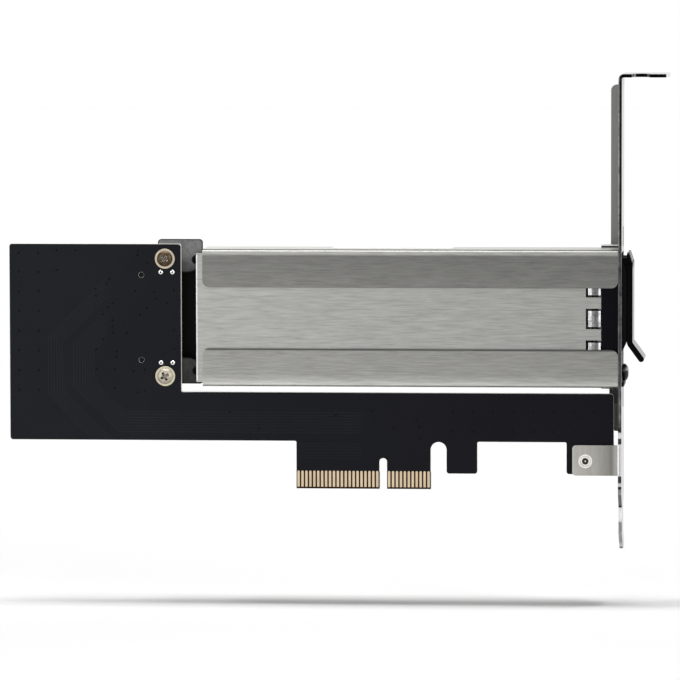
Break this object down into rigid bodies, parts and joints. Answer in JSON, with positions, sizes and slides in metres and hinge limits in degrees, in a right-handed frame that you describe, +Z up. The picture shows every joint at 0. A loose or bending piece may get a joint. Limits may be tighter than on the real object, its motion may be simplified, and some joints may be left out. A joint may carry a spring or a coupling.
{
  "type": "nvme adapter card",
  "caption": "Full-height expansion card with an x4 edge, a brushed steel cage and a lever-pulled tray that takes an M.2 drive out through the slot bracket.",
  "frame": {"origin": "edge connector: middle of the key notch and of the board's thickness, at the lower end of the edge", "axes": "+X along the card towards the slot bracket, +Y from the solder side to the component side, +Z up, away from the slot"},
  "size_m": [0.1669, 0.0189, 0.12],
  "materials": {
    "circuit_board": "black solder mask over glass-epoxy board",
    "edge_contacts": "gold plating",
    "board_screws": "zinc-plated steel",
    "inductor": "pressed ferrite powder",
    "regulator": "moulded epoxy",
    "capacitor_bodies": "ceramic",
    "capacitor_ends": "tinned",
    "light_pipe": "moulded",
    "cage": "brushed along its length",
    "mounting_ears": "dark plated steel",
    "dock_housing": "moulded black",
    "drive_socket": "moulded black",
    "socket_contacts": "gold plating",
    "bracket": "nickel-plated steel",
    "foot_screw": "nickel-plated steel",
    "label": "blank white paper label",
    "tray_base": "brushed steel",
    "tray_lid": "brushed along its length",
    "hinge_leaf": "polished knuckles",
    "hinge_pin": "plain steel",
    "bezel": "moulded black",
    "bezel_screw": "black oxide",
    "thermal_pad": "soft silicone",
    "drive_post": "turned brass",
    "drive_screw": "zinc-plated steel",
    "lever": "black coated",
    "lever_pin": "plain steel"
  },
  "bodies": {
    "card": {"circuit_board": "circuit_board", "edge_contacts": "edge_contacts", "board_screws": "board_screws", "inductor": "inductor", "regulator": "regulator", "capacitor_bodies": "capacitor_bodies", "capacitor_ends": "capacitor_ends", "light_pipe": "light_pipe", "cage": "cage", "mounting_ears": "mounting_ears", "dock_housing": "dock_housing", "drive_socket": "drive_socket", "socket_contacts": "socket_contacts", "bracket": "bracket", "foot_screw": "foot_screw", "label": "label"},
    "tray": {"tray_base": "tray_base", "tray_lid": "tray_lid", "hinge_leaf": "hinge_leaf", "hinge_pin": "hinge_pin", "bezel": "bezel", "bezel_screw": "bezel_screw", "thermal_pad": "thermal_pad", "drive_post": "drive_post", "drive_screw": "drive_screw"},
    "lever": {"lever": "lever", "lever_pin": "lever_pin"}
  },
  "joints": [
    {"name": "tray_slide", "type": "slide", "parent": "card", "child": "tray", "axis": [1, 0, 0], "range_m": [0, 0.1]},
    {"name": "lever_pivot", "type": "hinge", "parent": "tray", "child": "lever", "pos_m": [0.06212, 0.00567, 0.0573], "axis": [0, -1, 0], "range_deg": [0, 50]}
  ]
}
